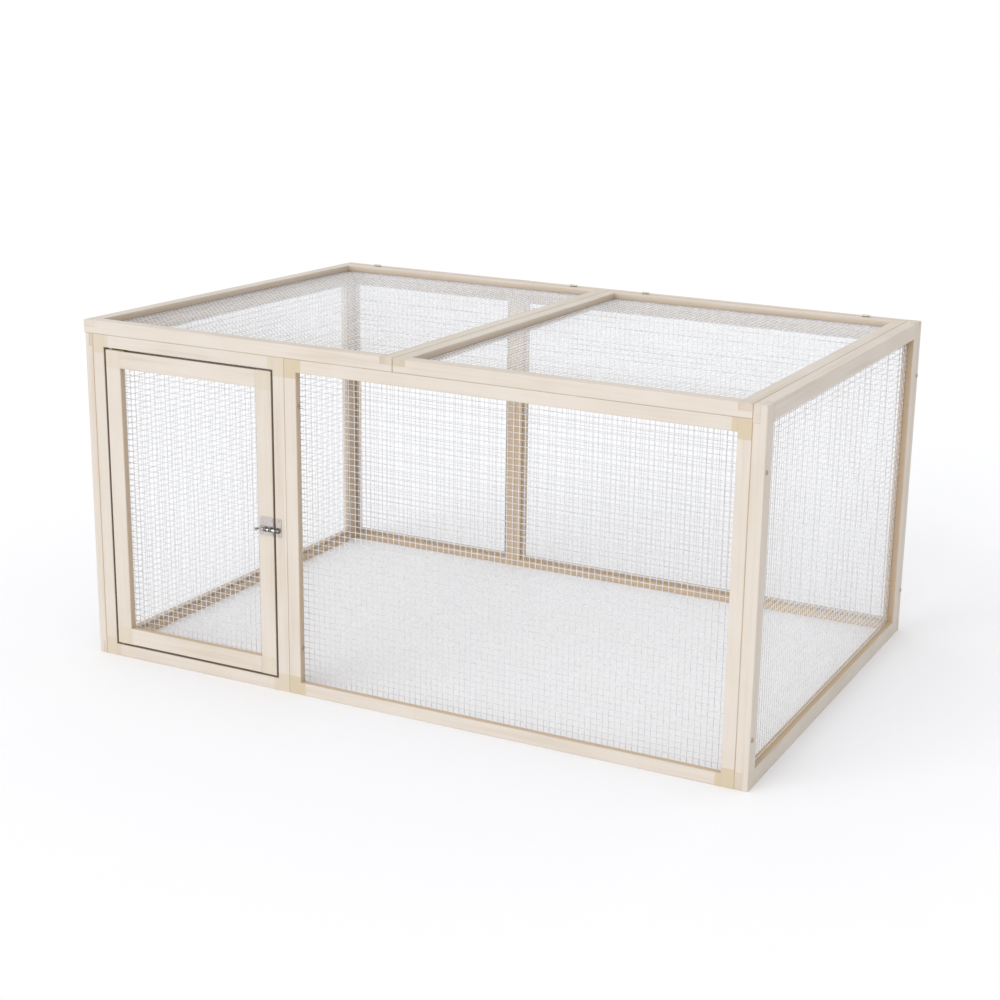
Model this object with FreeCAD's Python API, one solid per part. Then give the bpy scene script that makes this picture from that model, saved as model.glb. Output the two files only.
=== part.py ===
"""Timber-framed small-animal run with welded mesh, a front door and two lifting lids.

Eight mesh-filled timber frames and one door frame are screwed into an open-bottomed box.
Every frame is two stiles and two rails, half-lapped at the corners, with a rebate round
the opening that the mesh sheet lies in. Lengths are millimetres. The model is laid out
from its front left bottom corner: X runs along the front, Y to the back and Z up. It is
then moved so that the origin is the centre of its footprint, on the ground.
"""

import FreeCAD, Part
import os

# Overall box
LENGTH = 1200.0            # outside of the left lid's end to the outside of the right end
DEPTH = 800.0              # front face to back face
HEIGHT = 583.0             # ground to the top of the lids

# Timber
THIN_T = 15.0              # thickness of the front, back, left and door frames
END_T = 22.0               # thickness of the right end frame
LID_T = 22.0               # thickness of a lid
STILE_W = 22.0             # face width of the upright members
RAIL_W = 21.0              # face width of the level members
END_W = 27.0               # face width of the right end frame's members
LID_W = 22.0               # face width of a lid's members
BACK_TOP_W = 43.0          # face width of the back frames' top rails, which carry the hinges
DOOR_W = 29.0              # face width of the door's members
SPLIT_X = 395.0            # where the short and the long front frames meet
LID_SPLIT_X = 593.0        # where the two lids meet
LID_OVERHANG = 2.0         # how far the left lid stands past the left end frame
DOOR_GAP = 3.5             # gap round the door
LID_GAP = 0.5              # gap between a lid and what stands beside it

# Mesh
SEAT_DEPTH = 11.0          # outer face of a frame to the shoulder that the mesh lies on
REBATE_W = 7.0             # width of that shoulder
MESH_T = 1.6               # two wires, one on the other
MESH_EDGE = 1.0            # gap between the mesh's edge and the wall of the rebate

# Frame screws
SCREW_R = 2.0
SCREW_HEAD_R = 3.6
SCREW_NECK_R = 2.2         # the head's radius where it meets the timber
SCREW_HEAD_H = 2.0
SCREW_TIP_R = 0.5
SCREW_PROUD = 2.0          # how far a long screw's point stands out of the timber
SCREW_COVER = 3.0          # timber left past a short screw's point
SCREW_STUB_COVER = 2.0     # and past a stub's
SCREW_POINT = 2.0          # length of the tapered point
SCREW_INSET = 7.5          # outer face of a thin frame to the screws that run along it
SCREW_LOW = 80.0           # lower screws above the ground
SCREW_HIGH = 76.0          # upper screws below the top of the front frames
SCREW_STAGGER = 14.0       # the right back corner's crossing screws pass above each other

# Door pivots
PIVOT_R = 2.5
PIVOT_CLEAR = 0.05
PIVOT_INSET = 7.5          # pivot axis to the door's hinge edge
PIVOT_HOLD = 12.0          # depth of the pin in the frame and in the door
PIVOT_END_CLEAR = 0.5
PIVOT_PLATE_T = 1.2
PIVOT_PLATE_L = 36.0
PIVOT_PLATE_W = 11.0
PIVOT_PLATE_EDGE = 1.0     # plate to the door's hinge edge
WASHER_R = 5.0
WASHER_CLEAR = 0.1

# Barrel bolt
LATCH_Z = 276.0            # height of the bolt's axis
BOLT_R = 2.2
BOLT_CLEAR = 0.06
BOLT_TIP_SHORT = 0.8       # gap between the bolt's tip and the keeper's loop, half shot
BOLT_L = 36.5
BOLT_TIP_L = 1.2
KNOB_STEM_R = 1.5
KNOB_R = 3.0
KNOB_OUT = 11.0            # centre of the knob in front of the door's face
KNOB_INSET = 2.6           # knob's axis from the bolt's free end
LATCH_T = 1.0
LATCH_L = 25.0
LATCH_H = 31.0
LATCH_DROP = 11.0          # the plate's lower edge below the bolt's axis
LATCH_EDGE = 0.5           # plate to the door's closing edge
LOOP_L = 5.0
LOOP_WALL = 1.5
LOOP_GAP = 0.1             # back of the keeper's loop to the timber's face
KEEPER_CLEAR = 0.4         # the keeper's loop is loose on the bolt
LOOP_INSETS = (1.0, 11.0)  # the two loops' near ends from the plate's closing edge
KEEPER_L = 10.5
KEEPER_EDGE = 1.5          # keeper plate to the edge of the door opening
KEEPER_LOOP_INSET = 1.5
LATCH_SCREW_R = 1.2
LATCH_SCREW_HEAD_R = 1.8
LATCH_SCREW_HEAD_H = 0.8
LATCH_SCREW_L = 10.0
LATCH_SCREW_EDGE = 3.2

# Lid hinges: butt hinges whose leaves stand in the gap behind the lids
BACK_GAP = 2.2             # gap between the lids and the back frames
HINGE_L = 14.0
LEAF_DROP = 16.0           # how far a leaf reaches down the gap
LEAF_SPACE = 0.3           # gap between the two leaves
HINGE_END = 76.0           # end of a lid to the middle of its nearer hinge
HINGE_RISE = 2.0           # pin axis above the lid's top
KNUCKLE_R = 1.9
HINGE_PIN_R = 1.0
HINGE_PIN_CLEAR = 0.05
KNUCKLE_GAP = 0.3
MIDDLE_KNUCKLE = 5.0
HINGE_SCREW_OFF = 3.5      # hinge screws from the middle of the hinge
HINGE_SCREW_DOWN = 9.0     # hinge screws below the lid's top
HINGE_SCREW_R = 1.0
HINGE_SCREW_HEAD_R = 1.8
HINGE_SCREW_L = 10.0

X, Y, Z = (FreeCAD.Vector(1, 0, 0), FreeCAD.Vector(0, 1, 0), FreeCAD.Vector(0, 0, 1))

# What follows from the sizes above
FRAME_TOP = HEIGHT - LID_T             # top of the front and left frames, under the lids
LEFT_X = LID_OVERHANG                  # outer face of the left end frame
FRONT_X0 = LEFT_X + THIN_T
FRONT_X1 = LENGTH - END_T
BACK_Y = DEPTH - THIN_T                # inner face of the back frames
HINGE_Y = BACK_Y - BACK_GAP / 2
HINGE_Z = HEIGHT + HINGE_RISE
LEAF_T = (BACK_GAP - LEAF_SPACE) / 2
BOLT_OUT = BOLT_R + KEEPER_CLEAR + LOOP_WALL + LOOP_GAP    # the bolt's axis in front of the face
KNOB_FRONT = KNOB_OUT + KNOB_R
ORIGIN = FreeCAD.Vector((LENGTH + SCREW_HEAD_H) / 2, (DEPTH + SCREW_HEAD_H - KNOB_FRONT) / 2, 0)

nodes = {}


def block(x0, x1, y0, y1, z0, z1):
    """A box between two values on each axis."""
    return Part.makeBox(x1 - x0, y1 - y0, z1 - z0, FreeCAD.Vector(x0, y0, z0))


def rod(radius, start, direction, length):
    """A solid cylinder."""
    return Part.makeCylinder(radius, length, start, direction)


def ring(radius, bore, start, direction, length):
    """A cylinder with a hole along its axis."""
    return rod(radius, start, direction, length).cut(rod(bore, start, direction, length))


def add(node, *solids):
    """File solids under a node's name."""
    nodes.setdefault(node, []).extend(solids)


def drill(node, hole):
    """Cut a hole in every solid of a node."""
    nodes[node] = [solid.cut(hole) for solid in nodes[node]]


class Frame:
    """A rectangular frame that lies across one axis.

    across, up and inward are the world axes (0, 1 or 2) that the frame's width, height and
    thickness lie along. base is its outer lower corner, and sense is +1 where the thickness
    runs towards the positive axis from the outer face, or -1 where it runs back.
    """

    def __init__(self, name, base, width, height, thick, axes, sense, widths):
        self.name = name
        self.base = base
        self.width = width
        self.height = height
        self.thick = thick
        self.axes = axes
        self.sense = sense
        self.left, self.right, self.bottom, self.top = widths

    def box(self, u0, u1, v0, v1, w0, w1):
        """A box in the frame's own across, up and inward distances."""
        low = list(self.base)
        high = list(self.base)
        spans = ((u0, u1), (v0, v1), (self.sense * w0, self.sense * w1))
        for axis, (first, last) in zip(self.axes, spans):
            low[axis] = self.base[axis] + min(first, last)
            high[axis] = self.base[axis] + max(first, last)
        return block(low[0], high[0], low[1], high[1], low[2], high[2])

    def opening(self, grow, w0, w1):
        """The opening, grown all round, between two depths."""
        return self.box(self.left - grow, self.width - self.right + grow,
                        self.bottom - grow, self.height - self.top + grow, w0, w1)

    def build(self, side_names, rail_names, meshed=True):
        """File the four members, half-lapped at the corners, and the mesh sheet."""
        half = self.thick / 2
        inner_u = (self.left, self.width - self.right)
        inner_v = (self.bottom, self.height - self.top)
        stile_spans = ((0, inner_u[0]), (inner_u[1], self.width))
        rail_spans = ((0, inner_v[0]), (inner_v[1], self.height))
        rebate = self.opening(REBATE_W, SEAT_DEPTH, self.thick)
        for name, (u0, u1) in zip(side_names, stile_spans):
            stile = self.box(u0, u1, 0, self.height, 0, self.thick)
            for v0, v1 in rail_spans:
                stile = stile.cut(self.box(u0, u1, v0, v1, half, self.thick))
            add(self.name + "_" + name, stile.cut(rebate) if meshed else stile)
        for name, (v0, v1) in zip(rail_names, rail_spans):
            rail = self.box(0, self.width, v0, v1, 0, self.thick)
            for u0, u1 in stile_spans:
                rail = rail.cut(self.box(u0, u1, v0, v1, 0, half))
            add(self.name + "_" + name, rail.cut(rebate) if meshed else rail)
        if meshed:
            sheet = self.opening(REBATE_W - MESH_EDGE, SEAT_DEPTH, SEAT_DEPTH + MESH_T)
            add(self.name + "_mesh", sheet)


SIDES = ("left_stile", "right_stile")
ENDS = ("front_stile", "rear_stile")
RAILS = ("bottom_rail", "top_rail")
LID_SIDES = ("left_rail", "right_rail")
LID_RAILS = ("front_rail", "rear_rail")
THIN = (STILE_W, STILE_W, RAIL_W, RAIL_W)
BACK = (STILE_W, STILE_W, RAIL_W, BACK_TOP_W)
ON_FRONT = (0, 2, 1)       # across X, up Z, inward Y
ON_END = (1, 2, 0)         # across Y, up Z, inward X
ON_TOP = (0, 1, 2)         # across X, up Y, inward Z

door_x0 = FRONT_X0 + STILE_W + DOOR_GAP
door_x1 = SPLIT_X - STILE_W - DOOR_GAP
door_z0 = RAIL_W + DOOR_GAP
door_z1 = FRAME_TOP - RAIL_W - DOOR_GAP


def build_frames():
    """The six wall frames, the door and the two lids."""
    Frame("left_end", (LEFT_X, 0, 0), BACK_Y, FRAME_TOP, THIN_T, ON_END, 1, THIN).build(ENDS, RAILS)
    Frame("right_end", (LENGTH, 0, 0), BACK_Y, HEIGHT, END_T, ON_END, -1, (END_W,) * 4).build(ENDS, RAILS)
    Frame("door_frame", (FRONT_X0, 0, 0), SPLIT_X - FRONT_X0, FRAME_TOP, THIN_T,
          ON_FRONT, 1, THIN).build(SIDES, RAILS, meshed=False)
    Frame("front", (SPLIT_X, 0, 0), FRONT_X1 - SPLIT_X, FRAME_TOP, THIN_T,
          ON_FRONT, 1, THIN).build(SIDES, RAILS)
    Frame("back_short", (LEFT_X, DEPTH, 0), SPLIT_X - LEFT_X, HEIGHT, THIN_T,
          ON_FRONT, -1, BACK).build(SIDES, RAILS)
    Frame("back_long", (SPLIT_X, DEPTH, 0), LENGTH - SPLIT_X, HEIGHT, THIN_T,
          ON_FRONT, -1, BACK).build(SIDES, RAILS)
    Frame("door", (door_x0, 0, door_z0), door_x1 - door_x0, door_z1 - door_z0, THIN_T,
          ON_FRONT, 1, (DOOR_W,) * 4).build(SIDES, RAILS)
    lid_depth = BACK_Y - BACK_GAP
    for name, x0, x1 in (("left_lid", 0, LID_SPLIT_X - LID_GAP),
                         ("right_lid", LID_SPLIT_X + LID_GAP, FRONT_X1 - LID_GAP)):
        Frame(name, (x0, 0, HEIGHT), x1 - x0, lid_depth, LID_T,
              ON_TOP, -1, (LID_W,) * 4).build(LID_SIDES, LID_RAILS)


def frame_screw(head, direction, length, *members):
    """A pan-head screw from the face it bears on, with its hole through the members."""
    shank = rod(SCREW_R, head, direction, length - SCREW_POINT)
    point = Part.makeCone(SCREW_R, SCREW_TIP_R, SCREW_POINT,
                          head + direction * (length - SCREW_POINT), direction)
    cap = Part.makeCone(SCREW_NECK_R, SCREW_HEAD_R, SCREW_HEAD_H,
                        head - direction * SCREW_HEAD_H, direction)
    add("frame_screws", cap.fuse(shank).fuse(point).removeSplitter())
    hole = rod(SCREW_R, head, direction, length)
    for member in members:
        drill(member, hole)


def build_frame_screws():
    """Screws along X through neighbouring stiles, and along Y through the back corners."""
    back_line = DEPTH - SCREW_INSET
    two_stiles = 2 * STILE_W + SCREW_PROUD
    end_and_stile = END_T + STILE_W + SCREW_PROUD
    short = THIN_T + STILE_W - SCREW_COVER
    stub = STILE_W - SCREW_STUB_COVER
    for z in (SCREW_LOW, FRAME_TOP - SCREW_HIGH):
        at = FreeCAD.Vector
        frame_screw(at(LEFT_X, SCREW_INSET, z), X, short, "left_end_front_stile",
                    "door_frame_left_stile")
        frame_screw(at(SPLIT_X + STILE_W, SCREW_INSET, z), -X, two_stiles, "front_left_stile",
                    "door_frame_right_stile")
        frame_screw(at(LENGTH, SCREW_INSET, z), -X, end_and_stile, "right_end_front_stile",
                    "front_right_stile")
        frame_screw(at(SPLIT_X + STILE_W, back_line, z), -X, two_stiles, "back_long_left_stile",
                    "back_short_right_stile")
        frame_screw(at(LENGTH, back_line, z), -X, stub, "back_long_right_stile")
        frame_screw(at(LEFT_X + SCREW_INSET, DEPTH, z), -Y, short, "back_short_left_stile",
                    "left_end_rear_stile")
        frame_screw(at(LENGTH - STILE_W / 2, DEPTH, z + SCREW_STAGGER), -Y, short,
                    "back_long_right_stile", "right_end_rear_stile")


def build_door_pivots():
    """A pin in the frame at the door's top and bottom, with a plate on the door and a washer."""
    axis_x = door_x0 + PIVOT_INSET
    axis_y = THIN_T / 2
    free = PIVOT_R + PIVOT_CLEAR
    hole_depth = PIVOT_HOLD + PIVOT_END_CLEAR
    for up, door_edge, frame_edge, rail, frame_rail in (
            (Z, door_z1, FRAME_TOP - RAIL_W, "door_top_rail", "door_frame_top_rail"),
            (-Z, door_z0, RAIL_W, "door_bottom_rail", "door_frame_bottom_rail")):
        door_at = FreeCAD.Vector(axis_x, axis_y, door_edge)
        frame_at = FreeCAD.Vector(axis_x, axis_y, frame_edge)
        pin = rod(PIVOT_R, door_at - up * PIVOT_HOLD, up, 2 * PIVOT_HOLD + DOOR_GAP)
        add("door_pivot_pins", pin)
        drill(frame_rail, rod(PIVOT_R, frame_at, up, PIVOT_HOLD))
        door_hole = rod(free, door_at, -up, hole_depth)
        drill(rail, door_hole)
        stile = "door_left_stile"
        drill(stile, door_hole)
        plate_z = sorted((door_edge, door_edge + up.z * PIVOT_PLATE_T))
        plate_x0 = door_x0 + PIVOT_PLATE_EDGE
        plate = block(plate_x0, plate_x0 + PIVOT_PLATE_L, axis_y - PIVOT_PLATE_W / 2,
                      axis_y + PIVOT_PLATE_W / 2, plate_z[0], plate_z[1])
        add("door_pivot_plates", plate.cut(rod(free, door_at, up, DOOR_GAP)))
        washer_t = DOOR_GAP - PIVOT_PLATE_T - WASHER_CLEAR
        add("door_pivot_washers", ring(WASHER_R, PIVOT_R, frame_at, -up, washer_t))


def plate_loop(x0):
    """A round-fronted strap that guides the bolt, from x0 along X, standing on the face."""
    bore = BOLT_R + BOLT_CLEAR
    half = bore + LOOP_WALL
    strap = rod(half, FreeCAD.Vector(x0, -BOLT_OUT, LATCH_Z), X, LOOP_L)
    strap = strap.fuse(block(x0, x0 + LOOP_L, -BOLT_OUT, 0, LATCH_Z - half, LATCH_Z + half))
    return strap.cut(rod(bore, FreeCAD.Vector(x0, -BOLT_OUT, LATCH_Z), X, LOOP_L))


def keeper_loop(x0):
    """A square strap that the bolt's tip enters loosely, from x0 along X."""
    bore = BOLT_R + KEEPER_CLEAR
    half = bore + LOOP_WALL
    strap = block(x0, x0 + LOOP_L, -BOLT_OUT - half, 0, LATCH_Z - half, LATCH_Z + half)
    return strap.cut(block(x0, x0 + LOOP_L, -BOLT_OUT - bore, -BOLT_OUT + bore,
                           LATCH_Z - bore, LATCH_Z + bore))


def latch_screws(node, plate_node, xs, zs, members):
    """Small round-head screws through a latch plate into the timber behind it."""
    for x in xs:
        for z in zs:
            face = FreeCAD.Vector(x, -LATCH_T, z)
            cap = rod(LATCH_SCREW_HEAD_R, face, -Y, LATCH_SCREW_HEAD_H)
            shank = rod(LATCH_SCREW_R, face, Y, LATCH_SCREW_L)
            add(node, cap.fuse(shank))
            for member in (plate_node,) + members:
                drill(member, shank)


def build_latch():
    """The plate with two loops, the sliding bolt with its knob, and the keeper."""
    z0 = LATCH_Z - LATCH_DROP
    z1 = z0 + LATCH_H
    plate_x1 = door_x1 - LATCH_EDGE
    plate = block(plate_x1 - LATCH_L, plate_x1, -LATCH_T, 0, z0, z1)
    for inset in LOOP_INSETS:
        plate = plate.fuse(plate_loop(plate_x1 - inset - LOOP_L))
    bore = rod(BOLT_R + BOLT_CLEAR, FreeCAD.Vector(plate_x1 - LATCH_L, -BOLT_OUT, LATCH_Z), X, LATCH_L)
    add("latch_plate", plate.cut(bore).removeSplitter())
    keeper_x0 = SPLIT_X - STILE_W + KEEPER_EDGE
    loop_x0 = keeper_x0 + KEEPER_LOOP_INSET
    keeper = block(keeper_x0, keeper_x0 + KEEPER_L, -LATCH_T, 0, z0, z1)
    keeper = keeper.fuse(keeper_loop(loop_x0))
    add("latch_keeper", keeper.removeSplitter())
    edge = LATCH_SCREW_EDGE
    plate_xs = (plate_x1 - LATCH_L + edge, plate_x1 - edge)
    latch_screws("latch_screws", "latch_plate", plate_xs, (z0 + edge, z1 - edge), ("door_right_stile",))
    latch_screws("keeper_screws", "latch_keeper", (keeper_x0 + KEEPER_L / 2,), (z0 + edge, z1 - edge),
                 ("door_frame_right_stile",))
    tip_x = loop_x0 - BOLT_TIP_SHORT
    tail_x = tip_x - BOLT_L
    body = rod(BOLT_R, FreeCAD.Vector(tail_x, -BOLT_OUT, LATCH_Z), X, BOLT_L - BOLT_TIP_L)
    tip = Part.makeCone(BOLT_R, BOLT_R - BOLT_TIP_L / 2, BOLT_TIP_L,
                        FreeCAD.Vector(tip_x - BOLT_TIP_L, -BOLT_OUT, LATCH_Z), X)
    stem_at = FreeCAD.Vector(tail_x + KNOB_INSET, -BOLT_OUT, LATCH_Z)
    stem = rod(KNOB_STEM_R, stem_at, -Y, KNOB_OUT - BOLT_OUT)
    knob = Part.makeSphere(KNOB_R, FreeCAD.Vector(stem_at.x, -KNOB_OUT, LATCH_Z))
    add("latch_bolt", body.fuse(tip).fuse(stem).fuse(knob).removeSplitter())


def hinge_leaf(mid_x, side, spans):
    """A leaf with its knuckles. side is +1 for the back frame's leaf and -1 for the lid's."""
    x0 = mid_x - HINGE_L / 2
    reach = sorted((HINGE_Y + side * LEAF_SPACE / 2, HINGE_Y + side * BACK_GAP / 2))
    under_knuckles = HINGE_Z - KNUCKLE_R - KNUCKLE_GAP
    leaf = block(x0, x0 + HINGE_L, reach[0], reach[1], HEIGHT - LEAF_DROP, under_knuckles)
    for first, last in spans:
        start = FreeCAD.Vector(x0 + first, HINGE_Y, HINGE_Z)
        leaf = leaf.fuse(block(x0 + first, x0 + last, reach[0], reach[1], under_knuckles, HINGE_Z))
        leaf = leaf.fuse(rod(KNUCKLE_R, start, X, last - first))
    bore = HINGE_PIN_R + (HINGE_PIN_CLEAR if side < 0 else 0)
    leaf = leaf.cut(rod(bore, FreeCAD.Vector(x0, HINGE_Y, HINGE_Z), X, HINGE_L))
    return leaf.removeSplitter()


def hinge_screw(node, leaf_node, member, x, side):
    """A countersunk screw through a hinge leaf, flush with it, into the timber beside it."""
    face = FreeCAD.Vector(x, HINGE_Y + side * LEAF_SPACE / 2, HEIGHT - HINGE_SCREW_DOWN)
    into = Y * side
    screw = Part.makeCone(HINGE_SCREW_HEAD_R, HINGE_SCREW_R, LEAF_T, face, into)
    screw = screw.fuse(rod(HINGE_SCREW_R, face, into, HINGE_SCREW_L)).removeSplitter()
    add(node, screw)
    drill(leaf_node, screw)
    drill(member, screw)


def build_lid_hinges():
    """Two small butt hinges for each lid, with their knuckles above the gap behind it."""
    side_knuckle = (HINGE_L - MIDDLE_KNUCKLE) / 2
    outer = ((0, side_knuckle), (HINGE_L - side_knuckle, HINGE_L))
    inner = ((side_knuckle + KNUCKLE_GAP, HINGE_L - side_knuckle - KNUCKLE_GAP),)
    lids = (("left_lid", 0, LID_SPLIT_X), ("right_lid", LID_SPLIT_X, FRONT_X1))
    for lid, x0, x1 in lids:
        for mid_x in (x0 + HINGE_END, x1 - HINGE_END):
            add("hinge_fixed_leaves", hinge_leaf(mid_x, 1, outer))
            add(lid + "_hinge_leaves", hinge_leaf(mid_x, -1, inner))
            pin_end = FreeCAD.Vector(mid_x - HINGE_L / 2, HINGE_Y, HINGE_Z)
            add("hinge_pins", rod(HINGE_PIN_R, pin_end, X, HINGE_L))
            back = "back_short_top_rail" if mid_x < SPLIT_X else "back_long_top_rail"
            for x in (mid_x - HINGE_SCREW_OFF, mid_x + HINGE_SCREW_OFF):
                hinge_screw("hinge_fixed_screws", "hinge_fixed_leaves", back, x, 1)
                hinge_screw(lid + "_hinge_screws", lid + "_hinge_leaves", lid + "_rear_rail", x, -1)


def export():
    """Write each node's solids to its own file, about the centre of the footprint."""
    os.makedirs("parts", exist_ok=True)
    for node, solids in sorted(nodes.items()):
        shape = solids[0] if len(solids) == 1 else Part.makeCompound(solids)
        shape = shape.copy()
        shape.translate(-ORIGIN)
        shape.exportStep("parts/" + node + ".step")


build_frames()
build_frame_screws()
build_door_pivots()
build_latch()
build_lid_hinges()
export()
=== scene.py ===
"""The looks of a timber-framed small-animal run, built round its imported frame.

Nine half-lapped timber frames stand and lie round an open-bottomed box. Eight of them hold a
sheet of welded wire. A door with a barrel bolt hangs in the front, and two lids lift on small
hinges at the back. Lengths are metres. X runs along the front, Y to the back and Z up.
"""

import logging
import math
from dataclasses import dataclass, field
from enum import Enum

import bmesh
import bpy
import numpy as np
from mathutils import Matrix, Vector


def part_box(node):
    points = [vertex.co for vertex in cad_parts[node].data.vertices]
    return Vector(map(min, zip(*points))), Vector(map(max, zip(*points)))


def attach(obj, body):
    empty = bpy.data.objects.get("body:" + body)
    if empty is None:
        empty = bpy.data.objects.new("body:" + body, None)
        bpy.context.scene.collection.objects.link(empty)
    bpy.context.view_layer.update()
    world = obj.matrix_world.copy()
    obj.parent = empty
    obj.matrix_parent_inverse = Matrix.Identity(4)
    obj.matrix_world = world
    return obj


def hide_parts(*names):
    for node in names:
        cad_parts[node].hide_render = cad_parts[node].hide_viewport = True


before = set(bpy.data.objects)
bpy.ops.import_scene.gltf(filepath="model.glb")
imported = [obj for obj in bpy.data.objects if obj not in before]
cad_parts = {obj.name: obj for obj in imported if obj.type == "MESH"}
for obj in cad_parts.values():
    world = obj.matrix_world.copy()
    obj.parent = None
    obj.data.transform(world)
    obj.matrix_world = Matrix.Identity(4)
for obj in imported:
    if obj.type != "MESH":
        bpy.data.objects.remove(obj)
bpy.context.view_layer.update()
LOG = logging.getLogger("animal_run")
MM = 0.001
MERGE = 1e-7
Shell = tuple[np.ndarray, list]


# ---- mesh helpers


def new_piece(name: str, points: np.ndarray, faces: list, body: str, slot: str,
              smooth: bool = False, merge: float = MERGE, marks: tuple = ()) -> bpy.types.Object:
    """Make an object of closed shells, facing outwards, that rides on a body.

    Args:
        name: The piece's name.
        points: Vertex places, one row each.
        faces: Vertex indices of each face.
        body: The body that it moves with.
        slot: The record's material slot; not used.
        smooth: Whether its faces are shaded smooth, apart from sharp edges.
        merge: Distance under which vertices become one.
        marks: Attributes to store: name, kind, domain, key and values.

    Returns:
        The new object, at the origin, with its place in its mesh.
    """
    mesh = bpy.data.meshes.new(name)
    mesh.from_pydata(points.tolist(), [], faces)
    for label, kind, domain, key, values in marks:
        layer = mesh.attributes.new(label, kind, domain)
        layer.data.foreach_set(key, np.ascontiguousarray(values, np.float32).ravel())
    tidy_shell(mesh, merge)
    if smooth:
        mesh.shade_smooth()
        mesh.set_sharp_from_angle(angle=math.radians(40))
    piece = bpy.data.objects.new(name, mesh)
    bpy.context.scene.collection.objects.link(piece)
    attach(piece, body)
    return piece


def tidy_shell(mesh: bpy.types.Mesh, merge: float) -> None:
    """Merge doubled vertices, drop faces with no area, and turn every shell outwards.

    Args:
        mesh: The mesh to tidy in place.
        merge: Distance under which vertices become one.
    """
    work = bmesh.new()
    work.from_mesh(mesh)
    bmesh.ops.remove_doubles(work, verts=work.verts, dist=merge)
    bmesh.ops.dissolve_degenerate(work, edges=work.edges, dist=merge)
    bmesh.ops.recalc_face_normals(work, faces=work.faces)
    work.to_mesh(mesh)
    work.free()


def grid_faces(rows: int, columns: int, closed: bool = True) -> np.ndarray:
    """List the quads of a grid whose vertices run row by row.

    Args:
        rows: Number of rows.
        columns: Number of vertices in a row.
        closed: Whether the last column joins the first.

    Returns:
        An array with four vertex indices for each quad.
    """
    row = np.arange(rows - 1)[:, None] * columns
    last = columns if closed else columns - 1
    first = np.arange(last)[None, :]
    second = (first + 1) % columns
    quads = np.stack([row + first, row + second, row + columns + second, row + columns + first], axis=-1)
    return quads.reshape(-1, 4)


def capped_tube(rings: np.ndarray) -> Shell:
    """Join rings into a closed tube: quads between neighbours and one flat face at each end.

    Args:
        rings: Array of rings by points by three.

    Returns:
        The shell.
    """
    count, around = rings.shape[:2]
    faces = grid_faces(count, around).tolist()
    faces.append(list(range(around))[::-1])
    faces.append(list(range((count - 1) * around, count * around)))
    return rings.reshape(-1, 3), faces


def join_shells(shells: list) -> Shell:
    """Put separate shells into one list of vertices and faces.

    Args:
        shells: The shells, each a pair of vertex places and faces.

    Returns:
        One shell that holds them all.
    """
    points, faces, start = [], [], 0
    for shell_points, shell_faces in shells:
        points.append(shell_points)
        faces.extend([[index + start for index in face] for face in shell_faces])
        start += len(shell_points)
    return np.concatenate(points), faces


def frame_of(direction: np.ndarray) -> np.ndarray:
    """Give three unit axes whose last is a direction, as the rows of a matrix."""
    axis = np.asarray(direction, float) / np.linalg.norm(direction)
    helper = np.array([0.0, 0.0, 1.0]) if abs(axis[2]) < 0.9 else np.array([1.0, 0.0, 0.0])
    first = np.cross(helper, axis)
    first /= np.linalg.norm(first)
    return np.array([first, np.cross(axis, first), axis])


def turned(profile: list, start: tuple, direction: tuple, around: int = 24) -> Shell:
    """Turn a profile about an axis, as on a lathe: each (radius, height) pair makes a ring.

    Args:
        profile: Pairs of radius and height along the axis, from one end to the other.
        start: The point on the axis at height 0.
        direction: The way the axis points.
        around: Points in a ring.

    Returns:
        The shell.
    """
    radius, height = np.array(profile, float).T
    angle = np.linspace(0, 2 * math.pi, around, endpoint=False)
    axes = frame_of(np.array(direction))
    ring = np.cos(angle)[:, None] * axes[0] + np.sin(angle)[:, None] * axes[1]
    points = np.array(start, float) + radius[:, None, None] * ring + height[:, None, None] * axes[2]
    return capped_tube(points)


def rounded_outline(width: float, height: float, corner: float, steps: int = 5) -> np.ndarray:
    """Give the outline of a rectangle with round corners, centred on 0: four quarter circles."""
    angle = np.linspace(0, math.pi / 2, steps)
    quarters = []
    for turn, (sx, sy) in enumerate(((1, 1), (-1, 1), (-1, -1), (1, -1))):
        centre = np.array([sx * (width / 2 - corner), sy * (height / 2 - corner)])
        swing = angle + turn * math.pi / 2
        quarters.append(centre + corner * np.stack([np.cos(swing), np.sin(swing)], axis=1))
    return np.concatenate(quarters)


def sheet_plate(low: Vector, high: Vector, normal_axis: int, corner: float, edge: float) -> Shell:
    """Make a pressed plate that fills a box: a rounded outline, drawn in a little at both faces.

    Args:
        low: The box's lowest corner.
        high: The box's highest corner.
        normal_axis: The axis that the thickness lies along.
        corner: Radius of the plate's corners.
        edge: Size of the small round along its edges.

    Returns:
        The shell.
    """
    size = np.array(high) - np.array(low)
    middle = (np.array(high) + np.array(low)) / 2
    first, second = [axis for axis in range(3) if axis != normal_axis]
    outline = rounded_outline(size[first], size[second], corner)
    inset = rounded_outline(size[first] - 2 * edge, size[second] - 2 * edge, max(corner - edge, edge))
    half = size[normal_axis] / 2
    rings = np.zeros((4, len(outline), 3))
    levels = ((inset, -half), (outline, edge - half), (outline, half - edge), (inset, half))
    for ring, (flat, depth) in zip(rings, levels):
        ring[:, first] = middle[first] + flat[:, 0]
        ring[:, second] = middle[second] + flat[:, 1]
        ring[:, normal_axis] = middle[normal_axis] + depth
    return capped_tube(rings)


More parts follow.
